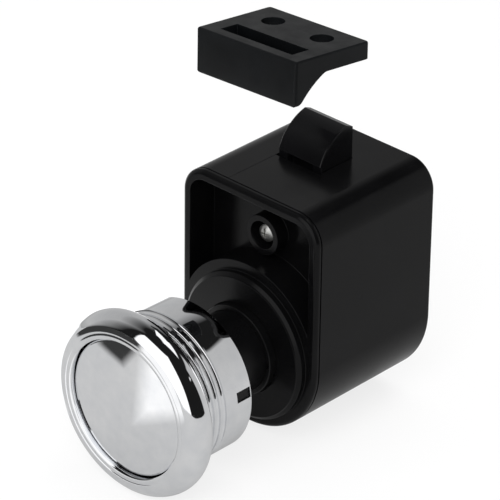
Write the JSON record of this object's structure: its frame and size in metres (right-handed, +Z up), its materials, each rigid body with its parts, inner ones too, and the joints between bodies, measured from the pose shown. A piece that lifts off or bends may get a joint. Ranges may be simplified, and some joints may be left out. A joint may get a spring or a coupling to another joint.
{
  "type": "pushbutton latch",
  "caption": "Surface-mounted pushbutton latch with chromed button and rosette, black housing with rising bolt, and a separate hollow-lipped keeper",
  "frame": {"origin": "on the button's axis, in the plane where the housing's front face meets the door", "axes": "+X right as seen from the door's outside, +Y from the button into the cabinet, +Z up, the way the bolt comes out"},
  "size_m": [0.0454, 0.0803, 0.1006],
  "materials": {
    "housing_gloss": "black moulded plastic with a high gloss",
    "bolt_gloss": "black moulded plastic, semi-gloss, for the bolt",
    "black_satin": "black moulded plastic with a satin surface",
    "keeper_satin": "black moulded plastic, smooth satin, for the keeper",
    "chrome_plate": "polished chrome plating on a casting",
    "steel_parts": "bright machined or plated steel",
    "natural_resin": "natural acetal for parts that slide",
    "seal_rubber": "soft black rubber"
  },
  "bodies": {
    "latch_body": {"front_plate": "housing_gloss", "main_shell": "housing_gloss", "side_cover": "housing_gloss", "neck": "black_satin", "lock_clip": "steel_parts", "rosette": "chrome_plate", "barrel_core": "black_satin", "guide_bushes": "natural_resin", "shaft_seal": "seal_rubber", "return_spring": "steel_parts", "track_wire": "steel_parts", "end_bumper": "seal_rubber", "cover_screws": "steel_parts", "plate_screw": "steel_parts", "keeper": "keeper_satin"},
    "button": {"button_cap": "chrome_plate", "cap_insert": "black_satin", "cap_screw": "steel_parts", "push_shaft": "steel_parts", "cam_slider": "natural_resin", "shaft_clip": "steel_parts"},
    "bolt": {"latch_bolt": "bolt_gloss", "bolt_pin": "steel_parts"}
  },
  "joints": [
    {"name": "button_slide", "type": "slide", "parent": "latch_body", "child": "button", "axis": [0, -1, 0], "range_m": [0, 0.009], "deforming": ["return_spring", "track_wire"]},
    {"name": "bolt_slide", "type": "slide", "parent": "latch_body", "child": "bolt", "axis": [0, 0, -1], "range_m": [0, 0.009]}
  ],
  "couplings": [
    {"joint": "bolt_slide", "follows": "button_slide", "ratio": 1}
  ]
}
